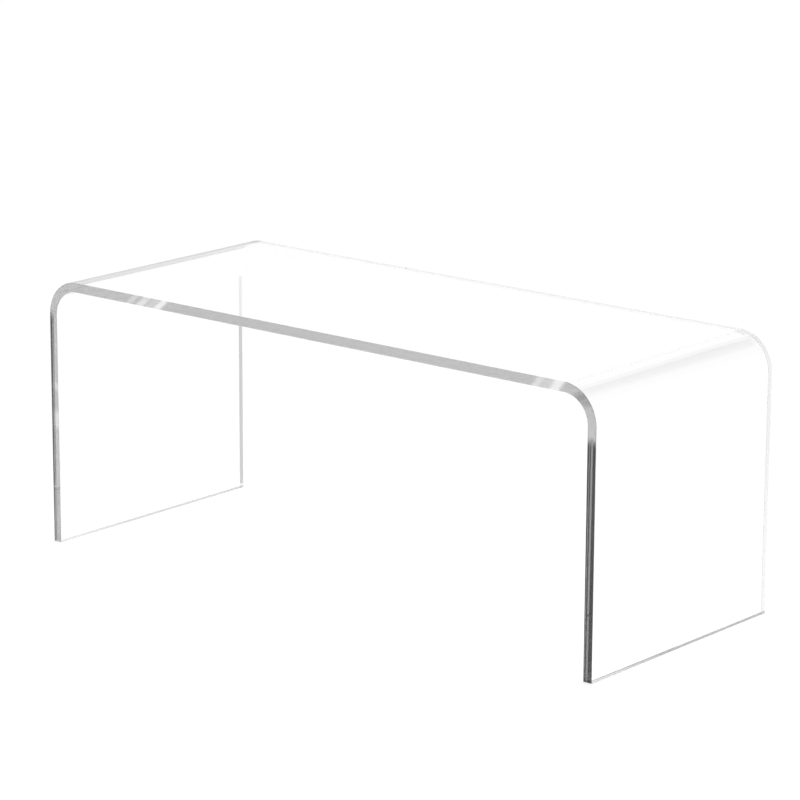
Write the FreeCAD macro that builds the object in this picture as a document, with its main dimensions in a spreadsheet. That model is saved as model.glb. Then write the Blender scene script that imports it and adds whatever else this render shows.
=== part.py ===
import FreeCAD, Part
import math
import os
import Sketcher

# Waterfall coffee table: one clear acrylic sheet, heat-bent twice into an upside-down U.
# Millimetres, origin on the floor at the centre of the footprint, +X along the top, +Z up.

DRIVING_SIZES = {
    "table_length": 1000.0,  # over the outsides of the two legs
    "table_width": 400.0,  # front cut edge to back cut edge
    "table_height": 400.0,  # floor to the upper face of the top
    "sheet_thickness": 14.0,  # wall of the sheet, the same through both bends
    "inside_radius": 40.0,  # inner radius of both bends
    "edge_arris": 0.4,  # width of the polished 45 degree bevel, measured along each face
}
FLATNESS = 0.001  # a face thinner than this along an axis is square to it
VOLUME_TOLERANCE = 0.001  # share of the volume that the bevels may take away

# sketch point numbers and axes, as Sketcher counts them
START, END, CENTRE = 1, 2, 3
HORIZONTAL_AXIS, VERTICAL_AXIS = -1, -2


def add_sizes(doc):
    sizes = doc.addObject("Spreadsheet::Sheet", "sizes")
    for row, (alias, value) in enumerate(DRIVING_SIZES.items(), start=1):
        sizes.set(f"A{row}", alias)
        sizes.set(f"B{row}", str(value))
        sizes.setAlias(f"B{row}", alias)
    doc.recompute()
    return sizes


def origin_plane(body, role):
    return next(plane for plane in body.Origin.OriginFeatures if plane.Role == role)


def draw_side_profile(body, sizes):
    # The sheet seen square on to its front cut edge: up the outside of the left leg, over the
    # top, down the right leg, and back along the inside.
    sketch = body.newObject("Sketcher::SketchObject", "side_profile")
    sketch.AttachmentSupport = [(origin_plane(body, "XZ_Plane"), "")]
    sketch.MapMode = "FlatFace"

    outer_x = sizes.table_length / 2
    inner_x = outer_x - sizes.sheet_thickness
    outer_z = sizes.table_height
    inner_z = outer_z - sizes.sheet_thickness
    inner_radius = sizes.inside_radius
    outer_radius = inner_radius + sizes.sheet_thickness
    bend_x = outer_x - outer_radius
    bend_z = outer_z - outer_radius

    def line(x1, z1, x2, z2):
        ends = [FreeCAD.Vector(x1, z1, 0), FreeCAD.Vector(x2, z2, 0)]
        return sketch.addGeometry(Part.LineSegment(*ends), False)

    def bend(x, radius, start_degrees):
        circle = Part.Circle(FreeCAD.Vector(x, bend_z, 0), FreeCAD.Vector(0, 0, 1), radius)
        turn = math.radians(start_degrees), math.radians(start_degrees + 90)
        return sketch.addGeometry(Part.ArcOfCircle(circle, *turn), False)

    outer_left = line(-outer_x, 0, -outer_x, bend_z)
    outer_left_bend = bend(-bend_x, outer_radius, 90)
    outer_top = line(-bend_x, outer_z, bend_x, outer_z)
    outer_right_bend = bend(bend_x, outer_radius, 0)
    outer_right = line(outer_x, bend_z, outer_x, 0)
    right_foot = line(outer_x, 0, inner_x, 0)
    inner_right = line(inner_x, 0, inner_x, bend_z)
    inner_right_bend = bend(bend_x, inner_radius, 0)
    inner_top = line(bend_x, inner_z, -bend_x, inner_z)
    inner_left_bend = bend(-bend_x, inner_radius, 90)
    inner_left = line(-inner_x, bend_z, -inner_x, 0)
    left_foot = line(-inner_x, 0, -outer_x, 0)

    def constrain(kind, *where):
        return sketch.addConstraint(Sketcher.Constraint(kind, *where))

    def drive(name, alias, kind, *where):
        sketch.renameConstraint(constrain(kind, *where, sizes.getPropertyByName(alias)), name)
        sketch.setExpression(f"Constraints.{name}", f"sizes.{alias}")

    # every bend runs into the flats on both sides of it without a kink
    constrain("Tangent", outer_left, END, outer_left_bend, END)
    constrain("Tangent", outer_top, START, outer_left_bend, START)
    constrain("Tangent", outer_top, END, outer_right_bend, END)
    constrain("Tangent", outer_right, START, outer_right_bend, START)
    constrain("Tangent", inner_right, END, inner_right_bend, START)
    constrain("Tangent", inner_top, START, inner_right_bend, END)
    constrain("Tangent", inner_top, END, inner_left_bend, START)
    constrain("Tangent", inner_left, START, inner_left_bend, END)

    # square feet close the outline on the floor
    constrain("Coincident", outer_right, END, right_foot, START)
    constrain("Coincident", right_foot, END, inner_right, START)
    constrain("Coincident", inner_left, END, left_foot, START)
    constrain("Coincident", left_foot, END, outer_left, START)
    constrain("PointOnObject", outer_left, START, HORIZONTAL_AXIS)

    for level in (outer_top, inner_top, left_foot):
        constrain("Horizontal", level)
    for upright in (outer_left, outer_right, inner_left, inner_right):
        constrain("Vertical", upright)
    constrain("Symmetric", outer_left, START, outer_right, END, VERTICAL_AXIS)
    constrain("Symmetric", inner_left, END, inner_right, START, VERTICAL_AXIS)

    # one centre for the inside and the outside of a bend keeps the wall even round it
    constrain("Coincident", outer_left_bend, CENTRE, inner_left_bend, CENTRE)
    constrain("Equal", outer_left_bend, outer_right_bend)
    constrain("Equal", inner_left_bend, inner_right_bend)

    drive("overLegs", "table_length", "DistanceX", outer_left, START, outer_right, END)
    drive("overTop", "table_height", "DistanceY", outer_left, START, outer_top, START)
    drive("wall", "sheet_thickness", "DistanceX", outer_left, START, inner_left, END)
    drive("insideBend", "inside_radius", "Radius", inner_left_bend)
    return sketch


def cut_faces(shape):
    # The sawn faces: the front and back edges of the sheet, and the two feet.
    names = []
    for number, face in enumerate(shape.Faces, start=1):
        box = face.BoundBox
        on_side = box.YLength < FLATNESS
        on_floor = box.ZLength < FLATNESS and box.ZMax < FLATNESS
        if on_side or on_floor:
            names.append(f"Face{number}")
    return names


def build_sheet(doc, sizes):
    body = doc.addObject("PartDesign::Body", "bent_acrylic_sheet")
    body.Label = "bent_acrylic_sheet"
    body.Placement = FreeCAD.Placement()
    profile = draw_side_profile(body, sizes)

    sheet = body.newObject("PartDesign::Pad", "sheet")
    sheet.Profile = profile
    sheet.SideType = "Symmetric"
    sheet.setExpression("Length", "sizes.table_width")
    doc.recompute()

    # the bevel runs unbroken round each cut edge: along the flats, round the bends, over the feet
    arris = body.newObject("PartDesign::Chamfer", "arris")
    arris.Base = (sheet, cut_faces(sheet.Shape))
    arris.setExpression("Size", "sizes.edge_arris")
    body.Tip = arris
    doc.recompute()
    return body


def flat_sheet_volume(sizes):
    # The blank before bending: bending about the middle of the wall keeps its length and volume.
    outer_radius = sizes.inside_radius + sizes.sheet_thickness
    middle_radius = sizes.inside_radius + sizes.sheet_thickness / 2
    top = sizes.table_length - 2 * outer_radius
    leg = sizes.table_height - outer_radius
    blank_length = top + 2 * leg + math.pi * middle_radius
    return blank_length * sizes.sheet_thickness * sizes.table_width


def check(doc, body, sizes):
    for item in doc.Objects:
        faults = [state for state in item.State if state in ("Invalid", "Error")]
        if faults:
            raise RuntimeError(f"{item.Name} is {faults}")
    if not body.Group[0].FullyConstrained:
        raise RuntimeError("the side profile is not fully constrained")
    shape = body.Shape
    if shape.isNull() or not shape.isValid() or len(shape.Solids) != 1:
        raise RuntimeError(f"{body.Label} is not one valid solid")
    lost = 1 - shape.Volume / flat_sheet_volume(sizes)
    if not 0 < lost < VOLUME_TOLERANCE:
        raise RuntimeError(f"the bevels take {lost:.6f} of the sheet")


doc = FreeCAD.newDocument("waterfall_coffee_table")
sizes = add_sizes(doc)
sheet_body = build_sheet(doc, sizes)
check(doc, sheet_body, sizes)

os.makedirs("parts", exist_ok=True)
sheet_body.Shape.exportStep(f"parts/{sheet_body.Label}.step")
box = sheet_body.Shape.BoundBox
print(f"{sheet_body.Label}: {box.XLength:.1f} x {box.YLength:.1f} x {box.ZLength:.1f} mm")
print(f"volume {sheet_body.Shape.Volume / 1000:.1f} cm3, {len(sheet_body.Shape.Faces)} faces")
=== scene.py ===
import math

import bpy
from mathutils import Matrix, Vector


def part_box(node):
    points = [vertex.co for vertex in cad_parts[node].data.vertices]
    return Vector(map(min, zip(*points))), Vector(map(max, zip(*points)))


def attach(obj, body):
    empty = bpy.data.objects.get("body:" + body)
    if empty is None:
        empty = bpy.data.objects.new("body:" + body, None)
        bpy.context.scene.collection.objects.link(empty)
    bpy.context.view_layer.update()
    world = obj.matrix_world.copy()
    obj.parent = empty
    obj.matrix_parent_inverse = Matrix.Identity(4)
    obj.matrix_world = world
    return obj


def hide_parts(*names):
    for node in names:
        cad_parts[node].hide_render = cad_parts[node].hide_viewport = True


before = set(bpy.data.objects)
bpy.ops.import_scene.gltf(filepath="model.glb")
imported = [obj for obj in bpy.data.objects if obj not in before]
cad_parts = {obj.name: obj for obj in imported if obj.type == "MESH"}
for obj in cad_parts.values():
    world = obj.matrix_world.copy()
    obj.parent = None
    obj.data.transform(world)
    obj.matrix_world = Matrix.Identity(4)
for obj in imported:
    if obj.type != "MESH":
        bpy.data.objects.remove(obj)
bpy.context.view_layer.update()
print("frame loaded:", sorted(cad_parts))

# the sheet: one flat blank bent twice, so its wall is the same all the way round
sheet = {
    "wall": 0.014,
    "insideRadius": 0.040,
    "arris": 0.0004,  # width of the small flat scraped along every cut edge
    "arrisAngleDeg": 60,  # only edges sharper than this are scraped
    "bendSteps": 64,
    "smoothAngleDeg": 20,  # the steps of the bends are shaded as one curve
    "sameSpot": 1e-6,  # corners closer than this are merged
    "ior": 1.49,
    "absorbColour": (0.55, 0.72, 0.66),
    "absorbDensity": 0.01,  # per metre, so only light that runs along the sheet turns faintly green
}
low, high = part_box("bent_acrylic_sheet")
outerRadius = sheet["insideRadius"] + sheet["wall"]
bendX = high.x - outerRadius  # where the flat top ends
bendZ = high.z - outerRadius  # where the flat legs end


def deselectAll():
    if bpy.context.object and bpy.context.object.mode != "OBJECT":
        bpy.ops.object.mode_set(mode="OBJECT")
    bpy.ops.object.select_all(action="DESELECT")


def selectFaces(piece, wanted):
    bpy.ops.mesh.select_mode(type="FACE")
    bpy.ops.mesh.select_all(action="DESELECT")
    bpy.ops.object.mode_set(mode="OBJECT")
    for face in piece.data.polygons:
        face.select = wanted(face)
    bpy.ops.object.mode_set(mode="EDIT")


def bendSheet():
    # a leg is stood up, then its top face is swept: round a bend, along the top, round the other, down
    wall = sheet["wall"]
    deselectAll()
    bpy.ops.mesh.primitive_cube_add(size=1, location=(low.x + wall / 2, 0, bendZ / 2))
    piece = bpy.context.object
    piece.name = "clearSheet"
    piece.scale = (wall, high.y - low.y, bendZ)
    bpy.ops.object.transform_apply(location=True, rotation=False, scale=True)
    bpy.ops.object.mode_set(mode="EDIT")
    selectFaces(piece, lambda face: face.normal.z > 0.9)  # the top of the leg
    quarter = {"steps": sheet["bendSteps"], "angle": math.radians(-90), "axis": (0, 1, 0)}
    bpy.ops.mesh.spin(center=(-bendX, 0, bendZ), **quarter)
    bpy.ops.mesh.extrude_region_move(TRANSFORM_OT_translate={"value": (2 * bendX, 0, 0)})
    bpy.ops.mesh.spin(center=(bendX, 0, bendZ), **quarter)
    bpy.ops.mesh.extrude_region_move(TRANSFORM_OT_translate={"value": (0, 0, -bendZ)})
    bpy.ops.mesh.select_all(action="SELECT")
    bpy.ops.mesh.remove_doubles(threshold=sheet["sameSpot"])
    bpy.ops.mesh.normals_make_consistent(inside=False)
    bpy.ops.object.mode_set(mode="OBJECT")
    print("sheet bent:", len(piece.data.polygons), "faces")
    return piece


def scrapeEdges(piece):
    bevel = piece.modifiers.new("arris", "BEVEL")
    bevel.width = sheet["arris"]
    bevel.segments = 1
    bevel.limit_method = "ANGLE"
    bevel.angle_limit = math.radians(sheet["arrisAngleDeg"])
    bpy.ops.object.modifier_apply(modifier="arris")
    bpy.ops.object.shade_smooth_by_angle(angle=math.radians(sheet["smoothAngleDeg"]))
    weighted = piece.modifiers.new("flatNormals", "WEIGHTED_NORMAL")
    weighted.keep_sharp = True
    bpy.ops.object.modifier_apply(modifier="flatNormals")
    print("edges scraped:", len(piece.data.polygons), "faces")


class Wire:
    # one socket of a node tree: sums on it add Math nodes, and add() makes any other node
    def __init__(self, tree, socket=None):
        self.tree = tree
        self.socket = socket

    def add(self, kind, settings=None, values=None, output=0):
        node = self.tree.nodes.new("ShaderNode" + kind)
        for name, value in (settings or {}).items():
            setattr(node, name, value)
        for name, value in (values or {}).items():
            if isinstance(value, Wire):
                self.tree.links.new(value.socket, node.inputs[name])
            else:
                node.inputs[name].default_value = value
        return Wire(self.tree, node.outputs[output] if node.outputs else None)

    def maths(self, operation, *values):
        return self.add("Math", {"operation": operation}, dict(enumerate((self, *values))))

    def __add__(self, other):
        return self.maths("ADD", other)

    __radd__ = __add__

    def __sub__(self, other):
        return self.maths("SUBTRACT", other)

    def __rsub__(self, other):
        return self.add("Math", {"operation": "SUBTRACT"}, {0: other, 1: self})

    def __mul__(self, other):
        return self.maths("MULTIPLY", other)

    __rmul__ = __mul__

    def __abs__(self):
        return self.maths("ABSOLUTE")

    def parts(self):
        split = self.add("SeparateXYZ", None, {0: self}).socket.node
        return [Wire(self.tree, socket) for socket in split.outputs]

    def above(self, edge):
        return self.maths("GREATER_THAN", edge)

    def within(self, least, most):
        # 1 where a whole number is from least to most
        return self.maths("COMPARE", (least + most) / 2, (most - least) / 2 + 0.5)

    def atLeast(self, other):
        return self.maths("MAXIMUM", other)

    def atMost(self, other):
        return self.maths("MINIMUM", other)

    def mixColours(self, share, first, second):
        return self.add("Mix", {"data_type": "RGBA"}, {0: share, 6: first, 7: second}, 2)

    def towards(self, other, share):
        # itself where share is 0, the other where it is 1
        return self + share * (other - self)

    def fade(self, start, end, low=0.0, high=1.0):
        # a soft step from low to high as the value goes from start to end
        values = {"Value": self, "From Min": start, "From Max": end, "To Min": low, "To Max": high}
        return self.add("MapRange", {"interpolation_type": "SMOOTHSTEP"}, values)


def newMaterial(name):
    material = bpy.data.materials.new(name)
    material.use_nodes = True
    material.node_tree.nodes.clear()
    return material, Wire(material.node_tree)


def plainGrey(level):
    return (level, level, level, 1)


# finish of the cut edges: the front one is a satin, duller than the polished back one; the grey colour of the
# front one is painted shade
# each haze below mixes in a near-black frost: it dulls the edge, and its near-black is painted shade
cutFinish = {
    "frontHazeAndShade": 0.35,  # share of the surface that looks dull and takes the haze's near-black, painted shade
    "backHazeAndShade": 0.17,
    "backArrisHazeAndShade": 0.40,
    # the next four are for the left leg and the right one; the arris of the top is like the left leg's
    # the right leg gets more of this near-black haze than the left, painted shade
    "arrisHazeAndShade": (0.45, 0.85),
    "rimHazeAndShade": (0.22, 0.85),  # lowest end of the front edge, painted darker there: painted shade
    "footHazeAndShade": (0.33, 0.62),  # from the middle of the foot to its back; the darker feet are painted shade
    "footArrisHazeAndShade": (0.30, 0.95),  # as it shows in light that has turned inside the sheet, which it darkens: painted shade
    "rimHeight": (0.0020, 0.0028),  # the rim's haze is whole below the first and gone above the second
    "footFront": 0.45,  # share of its haze that a foot has at its front
    "lateFaces": 3,  # light that has met this many faces no longer shows the haze
    "lateTurns": 2,  # on the front edge it must have turned this often inside the sheet too
    # near-black colour of the haze: painted shade
    "hazePaintedShadeGrey": 0.05,
    "hazeRoughness": 0.45,
    "cutColour": (0.998, 1.0, 0.999),
    "frontPaintedShade": 0.582,  # grey of the front edge's colour, painted shade: the grey that light running inside the sheet gives a cut edge
    "lineScale": (30.0, 1400.0, 5.0),  # sanding lines for each metre along, through and across the sheet
    "lineDetail": 3.0,
    "polishLines": 0.05,  # how much the fine lines of the sanding change the haze
    "scratchDepth": 0.00002,  # how deep the sanding lines are
    "mottle": 0.04,  # how much the blotches change the haze
    "mottleScale": 22.0,
    "mottleDetail": 2.0,
    "bendRoughness": 0.06,  # heating for the bends takes the gloss off the cut edge there
    "heatedReach": (0.005, 0.035),  # it is whole up to the first past the bend and gone at the second
    "markSoft": 0.5,  # how far a mark fades to each side of its half width, as a share of it
    # each mark is a painted glint, a clearer and lighter streak on the front edge, a painted highlight; a
    # mark with a negative share is a painted darker patch, painted shade. Place round the sheet from the
    # middle of the top, half width, how clear, and its lean, metres along the edge for each metre through the
    # wall
    "paintedGlintsAndShade": [
        (-0.3310, 0.0062, 0.32, 1.2),
        (-0.3090, 0.0075, 0.48, 1.2),
        (-0.2910, 0.0075, 0.22, 1.2),
        (-0.2755, 0.0066, 0.72, 1.2),
        (0.4040, 0.0060, 0.44, 0.8),
        (0.4190, 0.0075, 0.25, 0.8),
        (0.4348, 0.0080, 0.72, 0.7),
        (0.4796, 0.0120, -0.35, 0.6),
        (-0.6260, 0.0060, 0.35, 0.4),
        (-0.6770, 0.0120, 0.40, 0.4),
    ],
}
castFinish = {
    "colour": (0.996, 1.0, 0.998),
    "smudge": 0.02,  # how much of the smudge colour shows where a smudge is densest
    "smudgeColour": (0.8, 0.82, 0.81),
    "smudgeScale": 9.0,
    "smudgeDetail": 4.0,
    "smudgeEdge": (0.45, 0.75),  # noise values at which a smudge begins and is densest
    "lampThrough": (0.97, 0.98, 0.975),  # how much of a lamp's light the shadow lets through
}


def clearAcrylic():
    material, tree = newMaterial("clearAcrylic")
    place = tree.add("TexCoord", output="Object")
    x, y, z = place.parts()

    # the sheet unrolled: depth under the outer skin, and distance round it from the middle of the top
    wall = sheet["wall"]
    middleRadius = outerRadius - wall / 2
    over = (abs(x) - bendX).atLeast(0.0)
    up = (z - bendZ).atLeast(0.0)
    depth = outerRadius - (over * over + up * up).maths("SQRT")
    turned = over.maths("ARCTAN2", up) * middleRadius
    unrolled = abs(x).atMost(bendX) + turned + (bendZ - z).atLeast(0.0)
    along = unrolled * x.maths("SIGN")

    # cut faces and the arris between them and the cast faces
    arris = sheet["arris"]
    gap = (high.y - abs(y)).atMost(z)
    cut = 1 - gap.above(0.98 * arris)  # a little less than the arris, which leaves out the cast faces
    bevelled = gap.above(0.02 * arris)  # off the sawn faces themselves
    foot = cut * (1 - z.above(0.5 * arris))
    front = 1 - y.above(0.0)
    onRight = x.above(bendX)

    def byLeg(name):
        left, right = cutFinish[name]
        return left + onRight * (right - left)

    # fine lines left by the sanding run along the edge
    stretched = [part * scale for part, scale in zip((along, depth, y), cutFinish["lineScale"])]
    lineSpace = tree.add("CombineXYZ", None, dict(enumerate(stretched)))
    lineNoise = {"Vector": lineSpace, "Scale": 1.0, "Detail": cutFinish["lineDetail"]}
    lines = tree.add("TexNoise", None, lineNoise) - 0.5
    blotchNoise = {"Vector": place, "Scale": cutFinish["mottleScale"], "Detail": cutFinish["mottleDetail"]}
    blotch = tree.add("TexNoise", None, blotchNoise) - 0.5

    # painted glints: a mark makes the front edge clearer and lighter, a painted highlight; a negative one,
    # painted shade
    paintedGlintsAndShade = 0
    for middle, halfWidth, clear, lean in cutFinish["paintedGlintsAndShade"]:
        off = along - (wall / 2 - depth) * lean - middle
        soft = cutFinish["markSoft"] * halfWidth
        paintedGlintsAndShade = paintedGlintsAndShade + abs(off).fade(halfWidth + soft, halfWidth - soft) * clear
    awayFromPaintedMarks = 1 - paintedGlintsAndShade * front
    grain = 1 + lines * (2 * cutFinish["polishLines"]) + blotch * (2 * cutFinish["mottle"])

    # the haze: a share of near-black frost, which dulls the cut edge and paints shade on it
    hazeAndShade = front * (cutFinish["frontHazeAndShade"] - cutFinish["backHazeAndShade"]) + cutFinish["backHazeAndShade"]
    footHazeAndShade = byLeg("footHazeAndShade") * y.fade(low.y, 0.0, cutFinish["footFront"], 1.0)
    hazeAndShade = hazeAndShade.towards(footHazeAndShade, foot)
    backArrisHazeAndShade = cutFinish["backArrisHazeAndShade"]
    arrisHazeAndShade = backArrisHazeAndShade + front * (byLeg("arrisHazeAndShade") - backArrisHazeAndShade)
    hazeAndShade = hazeAndShade.towards(arrisHazeAndShade, bevelled)
    frontEdge = front * (1 - foot)
    rimFull, rimEnd = cutFinish["rimHeight"]
    hazeAndShade = hazeAndShade.towards(byLeg("rimHazeAndShade"), frontEdge * z.fade(rimEnd, rimFull))

    # light that comes late, after many faces, loses the haze and its painted shade: only the feet's arrises
    # stay dull
    turns = tree.add("LightPath", output="Glossy Depth")
    steps = tree.add("LightPath", output="Ray Depth")
    late = steps.above(cutFinish["lateFaces"] - 0.5) * turns.above(frontEdge * cutFinish["lateTurns"] - 0.5)
    footArris = bevelled * (1 - z.above(arris))
    hazeAndShade = cut * (hazeAndShade * awayFromPaintedMarks * grain * (1 - late) + footArris * late * byLeg("footArrisHazeAndShade"))

    # the heated stretch of the edge
    halfBend = math.pi / 4 * middleRadius
    bendMiddle = bendX + halfBend
    heatedFull, heatedEnd = cutFinish["heatedReach"]
    heated = abs(unrolled - bendMiddle).fade(halfBend + heatedEnd, halfBend + heatedFull)
    rough = cut * front * heated * awayFromPaintedMarks * cutFinish["bendRoughness"]

    smudgeNoise = {"Vector": place, "Scale": castFinish["smudgeScale"], "Detail": castFinish["smudgeDetail"]}
    smudges = tree.add("TexNoise", None, smudgeNoise).fade(*castFinish["smudgeEdge"])
    clean, smudged = (*castFinish["colour"], 1), (*castFinish["smudgeColour"], 1)
    castColour = tree.mixColours(smudges * castFinish["smudge"], clean, smudged)
    # the front edge's colour is painted grey, painted shade, and lighter at the painted glints
    passed = 1 - front * awayFromPaintedMarks * (1 - late) * (1 - cutFinish["frontPaintedShade"])
    red, green, blue = [passed * share for share in cutFinish["cutColour"]]
    cutColour = tree.add("CombineColor", None, {0: red, 1: green, 2: blue})
    colour = tree.mixColours(cut * (1 - foot), castColour, cutColour)

    glass = tree.add(
        "BsdfPrincipled",
        None,
        {"Base Color": colour, "Roughness": rough, "IOR": sheet["ior"], "Transmission Weight": 1.0},
    )
    scratches = tree.add("Bump", None, {"Height": lines, "Distance": cutFinish["scratchDepth"]})
    # the haze's surface: rough, and near-black, which is painted shade
    frostAndShade = tree.add(
        "BsdfPrincipled",
        None,
        {
            "Base Color": plainGrey(cutFinish["hazePaintedShadeGrey"]),
            "Roughness": cutFinish["hazeRoughness"],
            "IOR": sheet["ior"],
            "Normal": scratches,
        },
    )
    lampThrough = tree.add("BsdfTransparent", None, {"Color": (*castFinish["lampThrough"], 1)})
    isShadow = tree.add("LightPath", output="Is Shadow Ray")
    lit = tree.add("MixShader", None, {0: isShadow, 1: glass, 2: lampThrough})
    surface = tree.add("MixShader", None, {0: hazeAndShade, 1: lit, 2: frostAndShade})
    absorb = tree.add(
        "VolumeAbsorption",
        None,
        {"Color": (*sheet["absorbColour"], 1), "Density": sheet["absorbDensity"]},
    )
    tree.add("OutputMaterial", None, {"Surface": surface, "Volume": absorb})
    return material


studio = {
    "floorSide": 60.0,
    "floorDrop": 0.0002,  # keeps the floor's face and the feet's faces apart
    "floorColour": 0.8,
    "floorGlow": 0.21,  # added where the floor is seen, so that it shows white
    "fill": 0.8,  # strength of the sky as a light; where it is seen it is white
    "sunStrength": 0.75,
    "sunFrom": (-0.5, -1.0, 2.2),
    "sunSoftnessDeg": 40.0,
}
# grey cards round the table that show only by way of the sheet, in light that has turned at its faces
# and passed through them so many times: low corner, high corner, grey, widths of the soft sides and of
# the soft top, least and most turns, least and most passes
cards = {
    "leftOuterFlag": ((-0.4978, 0.206, 0.0), (-0.4922, 0.206, 0.286), 0.10, (0.0004, 0.02), (15, 18), (2, 2)),
    "leftInnerFlag": ((-0.4836, 0.206, 0.0), (-0.4790, 0.206, 0.286), 0.34, (0.0020, 0.02), (15, 18), (2, 2)),
    "rightFlag": ((0.470, 0.2065, 0.0), (0.510, 0.2065, 0.257), 0.02, (0.0004, 0.018), (12, 15), (2, 2)),
    "rightStrip": ((0.4836, 0.206, 0.0), (0.4879, 0.206, 0.257), 0.50, (0.0012, 0.01), (12, 15), (2, 2)),
    "leftSill": ((-0.500, 0.2001, 0.0001), (-0.492, 0.206, 0.0001), 0.15, (0.0004, 0), (15, 18), (2, 2)),
    "rightSill": ((0.466, 0.2001, 0.0001), (0.504, 0.2065, 0.0001), 0.05, (0.0004, 0), (12, 15), (2, 2)),
    "bendPatch": ((0.325, 0.236, 0.350), (0.400, 0.236, 0.435), 0.82, (0.030, 0.01), (5, 40), (2, 2)),
    "leftFloor": ((-1.5, -0.9, 0.002), (-0.505, 0.190, 0.002), 0.70, (0.0004, 0), (1, 30), (2, 99)),
    "leftSkyline": ((-0.506, -1.0, 0.330), (-0.506, 1.0, 0.418), 0.68, (0, 0.001), (1, 3), (0, 2)),
    "leftLens": ((-0.508, -1.0, 0.378), (-0.508, 1.0, 0.420), 0.50, (0, 0.001), (0, 0), (4, 4)),
    "leftHigh": ((-4.3, 3.5, 1.85), (-3.2, 3.5, 3.00), 0.60, (0.01, 0.1), (1, 1), (2, 2)),
    "overhead": ((-0.62, 3.2, 2.50), (1.3, 3.2, 3.60), 0.28, (0.35, 0.01), (1, 3), (0, 2)),
    "overheadEnd": ((0.5, 3.21, 1.20), (2.5, 3.21, 3.60), 0.70, (0.80, 0.01), (1, 3), (0, 2)),
}


def seenWhite(tree):
    path = tree.add("LightPath").socket.node
    camera, glossy, transmission = [
        Wire(tree.tree, path.outputs[name])
        for name in ("Is Camera Ray", "Is Glossy Ray", "Is Transmission Ray")
    ]
    return camera.atLeast(glossy).atLeast(transmission)


def makeStudio():
    world = bpy.data.worlds.new("studio")
    bpy.context.scene.world = world
    world.use_nodes = True
    world.node_tree.nodes.clear()
    tree = Wire(world.node_tree)
    strength = seenWhite(tree) * (1 - studio["fill"]) + studio["fill"]
    sky = tree.add("Background", None, {"Color": (1, 1, 1, 1), "Strength": strength})
    tree.add("OutputWorld", None, {"Surface": sky})

    deselectAll()
    bpy.ops.mesh.primitive_plane_add(size=studio["floorSide"], location=(0, 0, -studio["floorDrop"]))
    floor = bpy.context.object
    floor.name = "floor"
    material, tree = newMaterial("paleFloor")
    paint = tree.add(
        "BsdfPrincipled",
        None,
        {
            "Base Color": plainGrey(studio["floorColour"]),
            "Roughness": 1.0,
            "Specular IOR Level": 0.0,
            "Emission Color": (1, 1, 1, 1),
            "Emission Strength": seenWhite(tree) * studio["floorGlow"],
        },
    )
    tree.add("OutputMaterial", None, {"Surface": paint})
    floor.data.materials.append(material)

    deselectAll()
    bpy.ops.object.light_add(type="SUN", location=studio["sunFrom"])
    sun = bpy.context.object
    sun.data.energy = studio["sunStrength"]
    sun.data.angle = math.radians(studio["sunSoftnessDeg"])
    sun.rotation_euler = Vector(studio["sunFrom"]).to_track_quat("Z", "Y").to_euler()
    sun.visible_glossy = False
    sun.visible_transmission = False


def makeCard(name, start, end, grey, softEdges, turns, passes):
    start, end = Vector(start), Vector(end)
    size = end - start
    if size.z == 0:  # it lies flat
        faces, spread = (0, 0, 0), (size.x, size.y, 1)
    elif size.y == 0:  # it stands along the table
        faces, spread = (math.pi / 2, 0, 0), (size.x, size.z, 1)
    else:  # it stands across
        faces, spread = (math.pi / 2, 0, math.pi / 2), (size.y, size.z, 1)
    deselectAll()
    bpy.ops.mesh.primitive_plane_add(size=1, location=(start + end) / 2, rotation=faces)
    board = bpy.context.object
    board.name = name
    board.scale = spread
    bpy.ops.object.transform_apply(location=True, rotation=True, scale=True)
    material, tree = newMaterial(name)
    turned = tree.add("LightPath", output="Glossy Depth")
    passed = tree.add("LightPath", output="Transmission Depth")
    seen = turned.within(*turns) * passed.within(*passes)
    x, y, z = tree.add("TexCoord", output="Object").parts()
    softSides, softTop = softEdges
    if softSides:
        seen = seen * (x - start.x).atMost(end.x - x).fade(0.0, softSides)
    if softTop:
        seen = seen * (end.z - z).fade(0.0, softTop)
    paint = tree.add("Emission", None, {"Color": plainGrey(grey), "Strength": 1.0})
    gone = tree.add("BsdfTransparent")
    shader = tree.add("MixShader", None, {0: seen, 1: gone, 2: paint})
    tree.add("OutputMaterial", None, {"Surface": shader})
    board.data.materials.append(material)
    board.visible_camera = False
    board.visible_diffuse = False
    board.visible_shadow = False


camera = {
    "place": (3.1390, -3.7362, 1.5119),
    "aim": (-0.0086, 0.0125, 0.2577),
    "rollDeg": 0.265,
    "lensMm": 159.28,
    "sensorMm": 36.0,
}


def makeCamera():
    deselectAll()
    bpy.ops.object.camera_add(location=camera["place"])
    view = bpy.context.object
    place, aim = Vector(camera["place"]), Vector(camera["aim"])
    look = (aim - place).to_track_quat("-Z", "Y").to_matrix().to_4x4()
    roll = Matrix.Rotation(math.radians(camera["rollDeg"]), 4, "Z")
    view.matrix_world = Matrix.Translation(place) @ look @ roll
    view.data.lens = camera["lensMm"]
    view.data.sensor_width = camera["sensorMm"]
    bpy.context.scene.camera = view


lightTurns = 1000  # light that runs along the sheet turns inside it hundreds of times before it leaves
scene = bpy.context.scene
scene.view_settings.view_transform = "Standard"
scene.cycles.max_bounces = lightTurns
scene.cycles.glossy_bounces = lightTurns
scene.cycles.transmission_bounces = lightTurns
scene.cycles.blur_glossy = 0  # keeps the reflections inside the sheet sharp
makeCamera()
makeStudio()
for name, card in cards.items():
    makeCard(name, *card)
print("studio built")
piece = bendSheet()
scrapeEdges(piece)
piece.data.materials.append(clearAcrylic())
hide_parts("bent_acrylic_sheet")
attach(piece, "root")
print("sheet finished")
